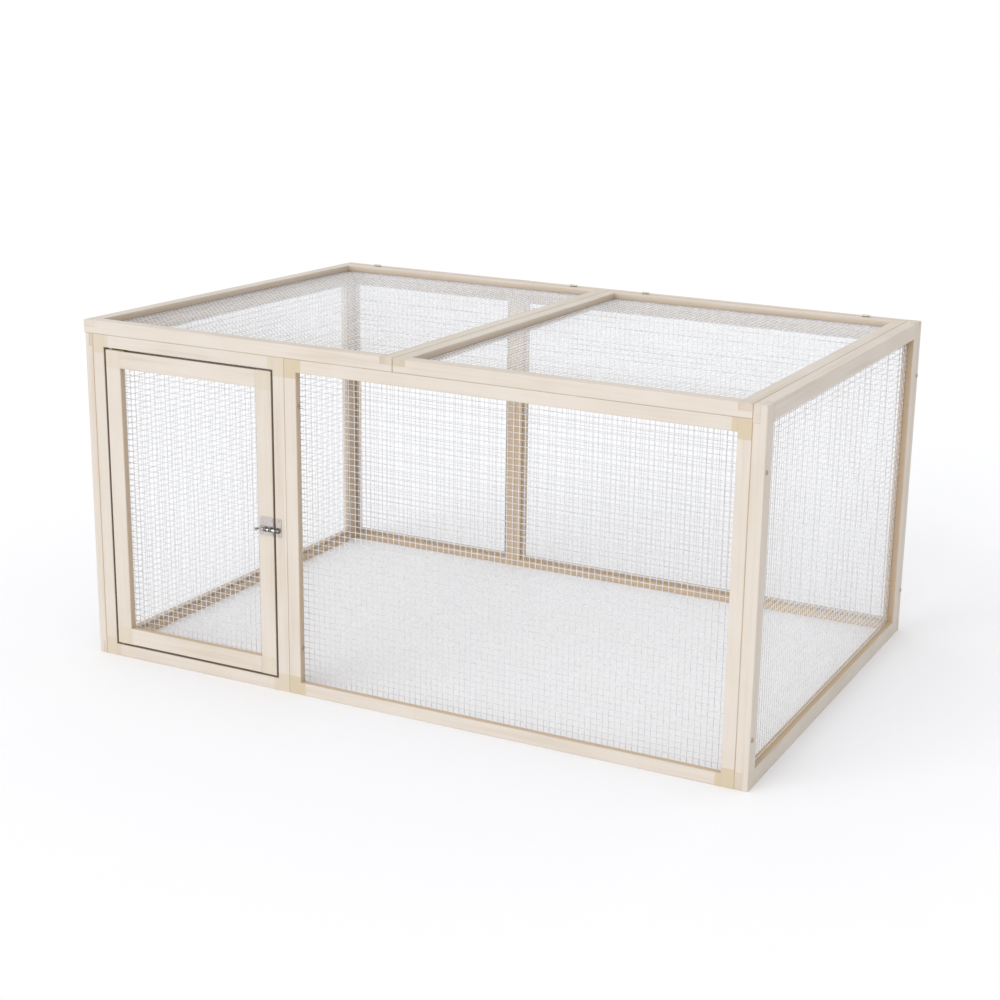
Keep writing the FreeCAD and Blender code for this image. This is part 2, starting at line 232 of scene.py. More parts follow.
def wire_path(path: np.ndarray, radius: float, around: int = 6) -> Shell:
    """Carry a small circle along a path, turned to follow its direction.

    Args:
        path: The path's points.
        radius: The wire's radius.
        around: Points round it.

    Returns:
        The shell.
    """
    along = np.gradient(path, axis=0)
    along /= np.linalg.norm(along, axis=1)[:, None]
    helper = np.array([0.31, 0.52, 0.80])
    first = np.cross(along, helper)
    first /= np.linalg.norm(first, axis=1)[:, None]
    second = np.cross(along, first)
    angle = np.linspace(0, 2 * math.pi, around, endpoint=False)
    circle = (np.cos(angle)[None, :, None] * first[:, None, :]
              + np.sin(angle)[None, :, None] * second[:, None, :])
    return capped_tube(path[:, None, :] + radius * circle)


# ---- finishes


class Nodes:
    """A material's node tree, with short calls to add and link nodes."""

    def __init__(self, name: str) -> None:
        """Start a material with its shader and output."""
        self.material = bpy.data.materials.new(name)
        self.material.use_nodes = True
        self.tree = self.material.node_tree
        self.shader = self.tree.nodes["Principled BSDF"]

    def add(self, kind: str, inputs: dict | None = None, **settings) -> bpy.types.Node:
        """Add a node.

        Args:
            kind: The node's type.
            inputs: Values or output sockets for its inputs, by name or number.
            **settings: Values for its properties.

        Returns:
            The node.
        """
        node = self.tree.nodes.new(kind)
        for key, value in settings.items():
            setattr(node, key, value)
        for key, value in (inputs or {}).items():
            self.feed(node.inputs[key], value)
        return node

    def feed(self, socket: bpy.types.NodeSocket, value: object) -> None:
        """Link an output socket to an input, or set the input's own value."""
        if isinstance(value, bpy.types.NodeSocket):
            self.tree.links.new(value, socket)
        else:
            socket.default_value = value

    def noise(self, vector: object, scale: float, detail: float, rough: float = 0.5) -> object:
        """Add a noise texture and return its grey output."""
        node = self.add("ShaderNodeTexNoise", {"Vector": vector, "Scale": scale, "Detail": detail,
                                               "Roughness": rough})
        return node.outputs["Fac"]

    def spread(self, value: object, low: float, high: float, to_low: float, to_high: float) -> object:
        """Map a range of a value to another range and return the output."""
        node = self.add("ShaderNodeMapRange", {"Value": value, "From Min": low, "From Max": high,
                                               "To Min": to_low, "To Max": to_high})
        return node.outputs["Result"]

    def mix(self, factor: object, first: object, second: object) -> object:
        """Mix two colours and return the output."""
        node = self.add("ShaderNodeMix", data_type="RGBA")
        self.feed(node.inputs["Factor"], factor)
        self.feed(node.inputs[6], first)
        self.feed(node.inputs[7], second)
        return node.outputs[2]

    def times(self, first: object, second: object) -> object:
        """Multiply two values and return the output."""
        return self.add("ShaderNodeMath", {0: first, 1: second}, operation="MULTIPLY").outputs[0]

    def attribute(self, name: str) -> bpy.types.Node:
        """Add a node that reads a piece's own attribute."""
        return self.add("ShaderNodeAttribute", attribute_name=name)

    def bump(self, height: object, strength: float, distance: float) -> None:
        """Shape the shader's surface by a height."""
        node = self.add("ShaderNodeBump", {"Height": height, "Strength": strength, "Distance": distance})
        self.feed(self.shader.inputs["Normal"], node.outputs["Normal"])


@dataclass(frozen=True)
class LimewashedPine:
    """Planed pine under a thin cream limewash, with bare joints, inner faces tinted a darker tan that is partly
    bare wood and partly painted shade, and painted shade in the mesh's groove and the gaps.
    """

    wash: tuple = (0.60, 0.545, 0.485, 1)
    wash_thin: tuple = (0.55, 0.485, 0.41, 1)
    joint: tuple = (0.52, 0.44, 0.31, 1)
    # inner faces' colour: a darker tan, partly bare pine and partly painted shade
    inner_face_shade_and_tan: tuple = (0.53, 0.395, 0.265, 1)
    line: tuple = (0.45, 0.365, 0.27, 1)
    # painted shade colour, for the mesh's groove and the gaps round the door
    painted_shade: tuple = (0.15, 0.105, 0.07, 1)

    def make(self) -> bpy.types.Material:
        """Build the material, whose grain runs along each timber's own length.

        Returns:
            The material.
        """
        nodes = Nodes("limewashed_pine")
        grain = nodes.attribute("grain").outputs["Vector"]
        long = nodes.add("ShaderNodeVectorMath", {0: grain, 1: (1.6, 85.0, 85.0)}, operation="MULTIPLY")
        broad = nodes.add("ShaderNodeVectorMath", {0: grain, 1: (1.1, 22.0, 22.0)}, operation="MULTIPLY")
        fibre = nodes.noise(long.outputs[0], 3.0, 5.0, 0.6)
        ring = nodes.noise(broad.outputs[0], 3.0, 3.0, 0.5)
        cloud = nodes.noise(grain, 9.0, 3.0)
        colour = nodes.mix(nodes.spread(cloud, 0.35, 0.68, 0.0, 0.55), self.wash, self.wash_thin)
        colour = nodes.mix(nodes.spread(ring, 0.52, 0.72, 0.0, 0.34), colour, self.line)
        colour = nodes.mix(nodes.spread(fibre, 0.50, 0.78, 0.0, 0.26), colour, self.line)
        # inner faces mixed to the darker tan: partly bare wood, partly painted shade
        colour = nodes.mix(nodes.attribute("inner_face_shade_and_tan").outputs["Fac"], colour, self.inner_face_shade_and_tan)
        colour = nodes.mix(nodes.attribute("bare").outputs["Fac"], colour, self.joint)
        wear = nodes.times(nodes.attribute("arris").outputs["Fac"], nodes.spread(cloud, 0.4, 0.6, 0.12, 0.55))
        colour = nodes.mix(wear, colour, self.line)
        # painted shade in the mesh's groove and the gaps round the door
        colour = nodes.mix(nodes.attribute("painted_shade").outputs["Fac"], colour, self.painted_shade)
        nodes.feed(nodes.shader.inputs["Base Color"], colour)
        nodes.feed(nodes.shader.inputs["Roughness"], nodes.spread(fibre, 0.3, 0.7, 0.5, 0.68))
        nodes.shader.inputs["Specular IOR Level"].default_value = 0.32
        nodes.bump(fibre, 0.22, 0.0004)
        return nodes.material


@dataclass(frozen=True)
class Metal:
    """A plated or bare metal, with blotches, fine scratches and a varying shine. The blotches are faint on most
    metals; on the chromed bolt they swing from bright to near black as painted reflection, and the chromed
    loops' near-black colour is painted shade and painted reflection.
    """

    name: str
    colour: tuple
    dull_and_painted_reflection: tuple
    rough_low: float
    rough_high: float
    scale: float = 400.0
    metallic: float = 1.0

    def make(self) -> bpy.types.Material:
        """Build the material.

        Returns:
            The material.
        """
        nodes = Nodes(self.name)
        place = nodes.add("ShaderNodeTexCoord").outputs["Object"]
        blotch = nodes.noise(place, self.scale, 3.0)
        scratch = nodes.add("ShaderNodeVectorMath", {0: place, 1: (1.0, 1.0, 9.0)}, operation="MULTIPLY")
        fine = nodes.noise(scratch.outputs[0], self.scale * 5, 2.0)
        # blotches mix the two colours: faint on most metals, painted reflection on the chromed bolt and loops
        colour = nodes.mix(nodes.spread(blotch, 0.38, 0.66, 0.0, 1.0), self.colour, self.dull_and_painted_reflection)
        nodes.feed(nodes.shader.inputs["Base Color"], colour)
        rough = nodes.spread(fine, 0.3, 0.7, self.rough_low, self.rough_high)
        nodes.feed(nodes.shader.inputs["Roughness"], rough)
        nodes.shader.inputs["Metallic"].default_value = self.metallic
        nodes.bump(fine, 0.08, 0.00005)
        return nodes.material


class Finish(Enum):
    """The finishes. Each is named after the record's slot that it is, or is a part, of."""

    TIMBER = "timber"
    WIRE = "mesh_wire"
    SCREW = "screw_zinc"
    HINGE = "hinge_steel"
    LATCH = "latch_chrome"
    LATCH_BOLT = "latch_chrome_bolt"
    LATCH_LOOP = "latch_chrome_loop"
    BRASS = "pivot_brass"
    PIN = "pivot_steel"


RECIPES = {
    Finish.TIMBER: LimewashedPine(),
    Finish.WIRE: Metal("galvanised_wire", (0.86, 0.865, 0.88, 1), (0.70, 0.705, 0.72, 1), 0.30, 0.48, 260.0),
    Finish.SCREW: Metal("yellow_zinc", (0.50, 0.41, 0.28, 1), (0.36, 0.29, 0.19, 1), 0.28, 0.45),
    Finish.HINGE: Metal("plated_hinge_steel", (0.55, 0.52, 0.42, 1), (0.41, 0.39, 0.30, 1), 0.30, 0.48),
    Finish.LATCH: Metal("chromed_steel", (0.60, 0.56, 0.53, 1), (0.46, 0.43, 0.41, 1), 0.28, 0.46),
    # chromed bolt: blotches from bright to near black are painted reflection
    Finish.LATCH_BOLT: Metal("chromed_bolt_painted_reflection", (0.78, 0.77, 0.76, 1), (0.10, 0.095, 0.09, 1), 0.07, 0.18, 300.0),
    # chromed loops: the near-black colour is painted shade and painted reflection, not the chrome's own colour
    Finish.LATCH_LOOP: Metal("chromed_loop_painted_shade_and_reflection", (0.06, 0.057, 0.055, 1), (0.24, 0.23, 0.22, 1), 0.08, 0.20, 480.0),
    Finish.BRASS: Metal("dull_brass", (0.42, 0.34, 0.18, 1), (0.28, 0.23, 0.12, 1), 0.32, 0.52),
    Finish.PIN: Metal("bare_pin_steel", (0.40, 0.38, 0.35, 1), (0.28, 0.26, 0.24, 1), 0.30, 0.50),
}


class Paintshop:
    """Makes each finish once and dresses pieces in it."""

    def __init__(self) -> None:
        """Build every finish."""
        self.materials = {finish: recipe.make() for finish, recipe in RECIPES.items()}

    def dress(self, piece: bpy.types.Object, finish: Finish) -> None:
        """Give a piece one finish all over."""
        piece.data.materials.clear()
        piece.data.materials.append(self.materials[finish])

    def dress_node(self, node: str, finish: Finish) -> None:
        """Give a CAD node, which keeps its own shape, one finish in each of its material slots."""
        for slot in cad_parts[node].material_slots:
            slot.material = self.materials[finish]


# ---- timber frames


class Facing(Enum):
    """How a frame lies: the axes of its width, height and depth, and which way depth runs."""

    FRONT = ((0, 2, 1), 1)
    BACK = ((0, 2, 1), -1)
    LEFT = ((1, 2, 0), 1)
    RIGHT = ((1, 2, 0), -1)
    TOP = ((0, 1, 2), -1)


@dataclass
class Section:
    """A timber's cross-section: from its outer edge to the opening, and from front to back.

    Corners run round it: two at the front, the opening's edge down to the mesh's shoulder,
    the shoulder, its wall and the outer edge. Each is rounded by three points.
    """

    width: float
    front: float
    back: float
    shoulder: float | None
    rebate: float
    least_seat: float = 1.2 * MM

    def ring(self, arris: float, shares: tuple) -> np.ndarray:
        """Work out the outline, with every corner turned into a small arc.

        Args:
            arris: Radius of the long edges.
            shares: The share of that radius that each corner takes.

        Returns:
            Eighteen points as distance from the outer edge and depth.
        """
        lip = self.width - self.rebate
        if self.shoulder is None:
            inner = [(self.width, self.back), (lip, self.back), (lip / 2, self.back)]
        else:
            seat = max(self.shoulder, self.front + self.least_seat)
            inner = [(self.width, seat), (lip, seat), (lip, self.back)]
        corners = np.array([(0, self.front), (self.width, self.front), *inner, (0, self.back)])
        before = corners - np.roll(corners, 1, axis=0)
        before /= np.linalg.norm(before, axis=1)[:, None]
        after = np.roll(before, -1, axis=0)
        radius = arris * np.array(shares)[:, None]
        middle = corners + (after - before) * radius * (1 - math.sqrt(0.5))
        return np.stack([corners - before * radius, middle, corners + after * radius], axis=1).reshape(-1, 2)


WHOLE_ROUNDS = (1, 1, 0.5, 0.3, 1, 1)
FRONT_LAP_ROUNDS = (1, 0.3, 0.1, 0.1, 0.1, 0.1)
BACK_LAP_ROUNDS = (0.1, 0.1, 0.1, 0.3, 1, 1)
OUTER_SIDES = (0, 1, 2, 3, 4)
INNER_SIDES = tuple(range(5, 17))
# section points that take painted shade: the mesh's groove, and the outer and inner gap edges
GROOVE_POINTS = {6: 0.4, 7: 1.0, 8: 1.0, 9: 0.8, 10: 0.45, 11: 0.15}
OUTER_GAP_POINTS = (15, 16, 17, 0)
INNER_GAP_POINTS = (5, 6, 7, 8)


@dataclass
class TimberFrame:
    """Two long sides and two rails, half-lapped at the corners, round an opening."""

    name: str
    body: str
    facing: Facing
    sides: tuple = ("left_stile", "right_stile")
    rails: tuple = ("bottom_rail", "top_rail")
    meshed: bool = True
    joint_tone: float = 0.12
    arris: float = 1.1 * MM
    seat: float = 11 * MM
    rebate: float = 7 * MM
    joint_size: float = 31 * MM
    end_inset: float = 0.35 * MM
    # how far the inner faces go to the darker tan, which is partly painted shade
    inner_face_shade_and_tan_tone: float = 0.85
    # strengths of the painted shade in the groove and the gaps
    groove_shade: float = 0.22
    outer_shade: float = 0.0
    inner_shade: float = 0.0
    seed: int = 0

    def __post_init__(self) -> None:
        """Read the frame's box and its members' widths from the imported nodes."""
        (self.axes, self.sense) = self.facing.value
        boxes = {member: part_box(f"{self.name}_{member}") for member in self.sides + self.rails}
        self.low = np.min([np.array(low) for low, _ in boxes.values()], axis=0)
        self.high = np.max([np.array(high) for _, high in boxes.values()], axis=0)
        size = self.high - self.low
        across, up, inward = self.axes
        self.width, self.height, self.thick = size[across], size[up], size[inward]
        self.side_widths = [boxes[side][1][across] - boxes[side][0][across] for side in self.sides]
        self.rail_widths = [boxes[rail][1][up] - boxes[rail][0][up] for rail in self.rails]
        self.random = np.random.default_rng(self.seed)

    def place(self, local: np.ndarray) -> np.ndarray:
        """Turn the frame's own across, up and inward distances into places."""
        world = np.zeros_like(local)
        for column, axis in enumerate(self.axes):
            world[..., axis] = self.low[axis] + local[..., column]
        if self.sense < 0:
            world[..., self.axes[2]] = self.high[self.axes[2]] - local[..., 2]
        return world

    def stations(self, is_side: bool, width: float, length: float, laps: tuple) -> tuple:
        """List the sections along a member.

        A side keeps its front half in the laps and a rail its back half. The section
        changes where a lap ends, so two sections stand there.

        Args:
            is_side: Whether the member is a side or a rail.
            width: Its width.
            length: Its length.
            laps: How far its laps reach in from the ends.

        Returns:
            Distances along the member, and a ring of points for each.
        """
        half = self.thick / 2
        seat = self.seat if self.meshed else None
        full = Section(width, 0, self.thick, seat, self.rebate).ring(self.arris, WHOLE_ROUNDS)
        if is_side:
            lap = Section(width, 0, half, None, self.rebate).ring(self.arris, FRONT_LAP_ROUNDS)
        else:
            lap = Section(width, half, self.thick, None, self.rebate).ring(self.arris, BACK_LAP_ROUNDS)
            cut = Section(width, half, self.thick, seat, self.rebate).ring(self.arris, BACK_LAP_ROUNDS)
        cap = np.clip(lap, lap.min(axis=0) + self.end_inset, lap.max(axis=0) - self.end_inset)
        ends = []
        for reach, joint in zip(laps, self.joints(laps)):
            end = [(0, cap), (self.end_inset, lap)]
            if is_side:
                end.append((reach, lap))
            else:
                end += [(reach - self.rebate, lap), (reach - self.rebate, cut), (reach, cut)]
            ends.append(end + [(reach, full), (joint, full)])
        start, finish = ends
        distances, rings = zip(*start, *((length - distance, ring) for distance, ring in reversed(finish)))
        return np.array(distances), np.array(rings)

    def joints(self, laps: tuple) -> list:
        """Say how far the marked joint reaches in from each end, which is always past the lap."""
        return [max(self.joint_size, lap + self.end_inset) for lap in laps]

    def shading(self, distances: np.ndarray, length: float, laps: tuple) -> np.ndarray:
        """Say how deep in shade each point of each section lies.

        Args:
            distances: Where the sections stand.
            length: The member's length.
            laps: How far its laps reach in from the ends.

        Returns:
            The groove's shade between the laps, or a gap's shade where that is deeper.
        """
        # painted shade: the mesh's groove between the laps, and the gaps round the door
        shade = np.zeros((len(distances), 18))
        if self.meshed:
            between = (distances >= laps[0] - MERGE) & (distances <= length - laps[1] + MERGE)
            painted_shade = self.groove_shade * np.array(list(GROOVE_POINTS.values()))
            shade[np.ix_(between, list(GROOVE_POINTS))] = painted_shade
        for points, gap in ((OUTER_GAP_POINTS, self.outer_shade), (INNER_GAP_POINTS, self.inner_shade)):
            shade[:, list(points)] = np.maximum(shade[:, list(points)], gap)
        return shade

    def member(self, part: str, is_side: bool, at_high: bool, width: float, length: float,
               laps: tuple, shop: Paintshop) -> bpy.types.Object:
        """Build one timber by carrying its section along its length.

        Args:
            part: Its name within the frame.
            is_side: Whether it is a side or a rail.
            at_high: Whether it stands at the far end of the frame.
            width: Its width.
            length: Its length.
            laps: How far its laps reach in from the ends.
            shop: Where its finish comes from.

        Returns:
            The timber.
        """
        distances, rings = self.stations(is_side, width, length, laps)
        count, around = rings.shape[:2]
        span = self.width if is_side else self.height
        offset = span - rings[..., 0] if at_high else rings[..., 0]
        along = np.repeat(distances[:, None], around, axis=1)
        local = np.stack([offset, along, rings[..., 1]] if is_side else [along, offset, rings[..., 1]],
                         axis=-1)
        points, faces = capped_tube(self.place(local))
        shift = self.random.uniform(0, 40, 3)
        grain = np.stack([along, rings[..., 0], rings[..., 1]], axis=-1) + shift
        arris = np.tile(np.array([0.0, 1.0, 0.0] * 6), (count, 1))
        arris[[0, -1]] = 1.0
        # painted shade for the groove and the gaps, stored per point
        painted_shade = self.shading(distances, length, laps)
        marks = [("grain", "FLOAT_VECTOR", "POINT", "vector", grain),
                 ("arris", "FLOAT", "POINT", "value", arris), ("painted_shade", "FLOAT", "POINT", "value", painted_shade)]
        middle = (distances[1:] + distances[:-1]) / 2
        first_joint, last_joint = self.joints(laps)
        joint = (middle < first_joint) | (middle > length - last_joint)
        side = np.arange(around)
        bare = joint[:, None] * np.isin(side, OUTER_SIDES)[None, :] * self.joint_tone
        # inner faces: mask for the darker tan, partly bare wood and partly painted shade
        inner_face_shade_and_tan = np.ones((count - 1, 1)) * np.isin(side, INNER_SIDES)[None, :] * self.inner_face_shade_and_tan_tone
        for label, values in (("bare", bare), ("inner_face_shade_and_tan", inner_face_shade_and_tan)):
            marks.append((label, "FLOAT", "FACE", "value", np.append(values.ravel(), (0.0, 0.0))))
        piece = new_piece(f"{self.name}_{part}_timber", points, faces, self.body, Finish.TIMBER.value,
                          marks=tuple(marks))
        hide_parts(f"{self.name}_{part}")
        shop.dress(piece, Finish.TIMBER)
        return piece

    def build(self, shop: Paintshop) -> None:
        """Build the four timbers, and the wire sheet and its staples where there is one."""
        for index, part in enumerate(self.sides):
            self.member(part, True, index == 1, self.side_widths[index], self.height,
                        tuple(self.rail_widths), shop)
        for index, part in enumerate(self.rails):
            self.member(part, False, index == 1, self.rail_widths[index], self.width,
                        tuple(self.side_widths), shop)
        LOG.info("%s: four timbers on %s", self.name, self.body)
        if self.meshed:
            WireSheet(self).build(shop)


# ---- welded mesh


@dataclass
class WireSheet:
    """A sheet of welded mesh: two layers of straight wires, joined where they cross."""

    owner: TimberFrame
    pitch: float = 10 * MM
    wire: float = 0.55 * MM
    layer: float = 0.8 * MM
    step: float = 20 * MM
    sag: float = 2.2 * MM
    wander: float = 0.25 * MM
    bead: float = 0.75 * MM
    staple_pitch: float = 95 * MM
    staple_width: float = 7 * MM
    staple_wire: float = 0.35 * MM
    staple_edge: float = 2.8 * MM
    staple_leg: float = 2.6 * MM
    staple_scatter: float = 6 * MM
    staple_slant: float = 0.3
    waves: list = field(default_factory=list)

    def __post_init__(self) -> None:
        """Read the sheet's place from its node and choose how it buckles."""
        low, high = (np.array(corner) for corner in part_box(f"{self.owner.name}_mesh"))
        across, up, _ = self.owner.axes
        self.start = np.array([low[across], low[up]]) - self.owner.low[[across, up]]
        self.size = np.array([high[across] - low[across], high[up] - low[up]])
        random = self.owner.random
        self.waves = [(random.uniform(1, 4), random.uniform(1, 4), random.uniform(0, 6.28),
                       random.uniform(0.4, 1.0)) for _ in range(6)]

    def buckle(self, u: np.ndarray, v: np.ndarray) -> np.ndarray:
        """Say how far the sheet is out of true at a point, across, up and inward.

        The inward part is a belly, sin(pi u) sin(pi v), with slow waves on it, and is
        nothing at the edges. The other two are slow waves.

        Args:
            u: Distance across the sheet.
            v: Distance up the sheet.

        Returns:
            The three offsets, stacked last.
        """
        s, t = u / self.size[0], v / self.size[1]
        held = np.clip(np.sin(math.pi * np.clip(s, 0, 1)) * np.sin(math.pi * np.clip(t, 0, 1)), 0, 1)
        ripple = sum(gain * np.sin(2 * math.pi * (a * s + b * t) + phase)
                     for a, b, phase, gain in self.waves) / len(self.waves)
        drift = sum(gain * np.cos(2 * math.pi * (b * s - a * t) + 2 * phase)
                    for a, b, phase, gain in self.waves) / len(self.waves)
        inward = self.sag * held * (0.5 + ripple)
        return np.stack([self.wander * ripple * held, self.wander * drift * held, inward], axis=-1)

    def lines(self, along: int) -> tuple[np.ndarray, np.ndarray]:
        """Space the wires of one layer, and the points along one wire.

        Args:
            along: 0 where the wires run across, or 1 where they run up.

        Returns:
            The wires' places and the distances along a wire.
        """
        width = self.size[1 - along]
        count = int(width / self.pitch)
        places = (width - (count - 1) * self.pitch) / 2 + np.arange(count) * self.pitch
        return places, np.linspace(0, self.size[along], int(self.size[along] / self.step) + 2)

    def wires(self, along: int, depth: float) -> Shell:
        """Lay one layer of wires: each is a five-sided tube that follows the sheet.

        Args:
            along: 0 where the wires run across, or 1 where they run up.
            depth: Depth of the wires' centres in the frame.

        Returns:
            The shell.
        """
        places, distances = self.lines(along)
        wire, point = np.meshgrid(places, distances, indexing="ij")
        u, v = (point, wire) if along == 0 else (wire, point)
        centre = np.stack([u + self.start[0], v + self.start[1], np.full_like(u, depth)], axis=-1)
        centre += self.buckle(u, v)
        angle = np.linspace(0, 2 * math.pi, 5, endpoint=False)
        circle = np.zeros((5, 3))
        circle[:, 1 - along], circle[:, 2] = np.cos(angle), np.sin(angle)
        rings = self.owner.place(centre[:, :, None, :] + self.wire * circle)
        count, steps = rings.shape[:2]
        quads = grid_faces(steps, 5)[None] + (np.arange(count) * steps * 5)[:, None, None]
        first = np.arange(count)[:, None] * steps * 5 + np.arange(5)[None, :]
        faces = quads.reshape(-1, 4).tolist() + first[:, ::-1].tolist()
        faces += (first + (steps - 1) * 5).tolist()
        return rings.reshape(-1, 3), faces

    def beads(self, depth: float) -> Shell:
        """Put a small eight-faced weld where wires cross.

        Args:
            depth: Depth of the welds' centres.

        Returns:
            The shell.
        """
        u, v = np.meshgrid(self.lines(1)[0], self.lines(0)[0], indexing="ij")
        centre = np.stack([u + self.start[0], v + self.start[1], np.full_like(u, depth)], axis=-1)
        centre = (centre + self.buckle(u, v)).reshape(-1, 1, 3)
        random = self.owner.random
        size = self.bead * random.uniform(0.75, 1.1, (len(centre), 1, 1))
        corners = np.array([(1, 0, 0), (-1, 0, 0), (0, 1, 0), (0, -1, 0), (0, 0, 1), (0, 0, -1)], float)
        points = self.owner.place(centre + size * corners).reshape(-1, 3)
        one = np.array([(0, 2, 4), (2, 1, 4), (1, 3, 4), (3, 0, 4), (2, 0, 5), (1, 2, 5), (3, 1, 5), (0, 3, 5)])
        faces = one[None] + (np.arange(len(centre)) * 6)[:, None, None]
        return points, faces.reshape(-1, 3).tolist()

    def staples(self) -> Shell:
        """Set staples round the rebate, each a crown across the mesh with two short legs.

        Returns:
            The shell.
        """
        random = self.owner.random
        shells = []
        rows = [(axis, end) for axis in (0, 1) for end in (0, 1)]
        crown = self.owner.seat + 2 * self.layer + self.staple_wire
        for axis, end in rows:
            length = self.size[axis]
            count = max(2, round(length / self.staple_pitch))
            for place in (np.arange(count) + 0.5) * length / count:
                spot = np.zeros(2)
                spot[axis] = place + random.uniform(-self.staple_scatter, self.staple_scatter)
                spot[1 - axis] = self.staple_edge if end == 0 else self.size[1 - axis] - self.staple_edge
                slant = random.uniform(-self.staple_slant, self.staple_slant)
                reach = self.staple_width / 2 * np.array([math.cos(slant), math.sin(slant)])
                if axis == 1:
                    reach = reach[::-1]
                ends = [spot - reach, spot - reach, spot + reach, spot + reach]
                depths = (crown - self.staple_leg, crown, crown, crown - self.staple_leg)
                path = np.array([(*(point + self.start), depth) for point, depth in zip(ends, depths)])
                shells.append(wire_path(self.owner.place(path), self.staple_wire, 4))
        return join_shells(shells)

    def build(self, shop: Paintshop) -> None:
        """Build the sheet and its staples."""
        lower = self.owner.seat + self.wire
        shells = [self.wires(0, lower), self.wires(1, lower + self.layer), self.beads(lower + self.layer / 2)]
        sheet = new_piece(f"{self.owner.name}_welded_mesh", *join_shells(shells), self.owner.body,
                          Finish.WIRE.value, merge=0.0)
        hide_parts(f"{self.owner.name}_mesh")
        shop.dress(sheet, Finish.WIRE)
        staples = new_piece(f"{self.owner.name}_mesh_staples", *self.staples(), self.owner.body,
                            Finish.WIRE.value)
        shop.dress(staples, Finish.WIRE)
        LOG.info("%s: mesh with %d faces", self.owner.name, len(sheet.data.polygons))


# ---- screws


@dataclass
class CrossScrew:
    """A pan-head screw with a cross recess in its head."""

    radius: float
    height: float
    recess: float = 0.62
    slot_width: float = 0.17
    thread_pitch: float = 0.9 * MM
    buried: float = 2 * MM
    tip: float = 0.03 * MM

    def head(self, seat: tuple, outward: tuple) -> Shell:
        """Make a head that stands on a face.

        Its top is a low dome, height times the root of one less the radius squared, and
        the cross is where either distance from the middle is less than half a slot.

        Args:
            seat: The middle of the head's underside.
            outward: The way the head faces.

        Returns:
            The shell.
        """
        axes = frame_of(np.array(outward, float))
        share = np.concatenate([np.linspace(0.06, 0.9, 15), [0.96, 1.0, 1.0, 0.8]])
        angle = np.linspace(0, 2 * math.pi, 48, endpoint=False)
        r, turn = np.meshgrid(share, angle, indexing="ij")
        x, y = r * np.cos(turn), r * np.sin(turn)
        z = 0.35 + 0.65 * np.sqrt(np.clip(1 - r ** 2, 0, 1))
        near = np.minimum(np.abs(x), np.abs(y))
        arm = np.clip((self.slot_width - near) / 0.05, 0, 1) * np.clip((self.recess - r) / 0.06, 0, 1)
        z -= 0.6 * arm
        z[-2:] = np.array([[0.12], [0.0]])
        flat = (x[..., None] * axes[0] + y[..., None] * axes[1]) * self.radius
        points = np.array(seat, float) + flat + (z * self.height)[..., None] * axes[2]
        return capped_tube(points)

    def point(self, root: tuple, outward: tuple, length: float, radius: float) -> Shell:
        """Make the threaded point that stands out of the timber, with a few turns of thread."""
        rows = 26
        height = np.linspace(-self.buried, length, rows)
        taper = np.clip((length - height) / length, 0.0, 1.0) ** 0.6
        thread = 0.86 + 0.14 * np.cos(height / self.thread_pitch * 2 * math.pi)
        profile = [(max(radius * a * b, self.tip), h) for a, b, h in zip(taper, thread, height)]
        return turned(profile, root, outward, 16)


@dataclass
class FrameScrews:
    """The long screws that hold neighbouring frames together."""

    inset: float = 7.5 * MM
    low: float = 80 * MM
    below_top: float = 76 * MM
    stagger: float = 14 * MM
    proud: float = 2 * MM
    shank: float = 2 * MM
    head: CrossScrew = field(default_factory=lambda: CrossScrew(3.6 * MM, 2 * MM))

    def build(self, shop: Paintshop) -> None:
        """Build every head, and the points that come out into the door's gap and the run."""
        front_low, front_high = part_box("front_left_stile")
        frame_low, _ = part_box("door_frame_right_stile")
        _, right_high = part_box("right_end_front_stile")
        left_low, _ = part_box("left_end_front_stile")
        back_low, back_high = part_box("back_long_right_stile")
        _, middle_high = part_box("back_long_left_stile")
        last_low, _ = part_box("front_right_stile")
        back_joint_low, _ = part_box("back_short_right_stile")
        front = front_low.y + self.inset
        back = back_high.y - self.inset
        left = left_low.x + self.inset
        shells = []
        for z in (self.low, front_high.z - self.below_top):
            heads = (((left_low.x, front, z), (-1, 0, 0)),
                     ((front_high.x, front, z), (1, 0, 0)),
                     ((right_high.x, front, z), (1, 0, 0)),
                     ((middle_high.x, back, z), (1, 0, 0)),
                     ((back_high.x, back, z), (1, 0, 0)),
                     ((left, back_high.y, z), (0, 1, 0)),
                     (((back_low.x + back_high.x) / 2, back_high.y, z + self.stagger), (0, 1, 0)))
            shells += [self.head.head(seat, outward) for seat, outward in heads]
            for x, y in ((frame_low.x, front), (last_low.x, front), (back_joint_low.x, back)):
                shells.append(self.head.point((x, y, z), (-1, 0, 0), self.proud, self.shank))
        piece = new_piece("frame_screw_heads", *join_shells(shells), "frame", Finish.SCREW.value, smooth=True)
        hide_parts("frame_screws")
        shop.dress(piece, Finish.SCREW)
        LOG.info("frame screws: %d shells", len(shells))


# ---- barrel bolt


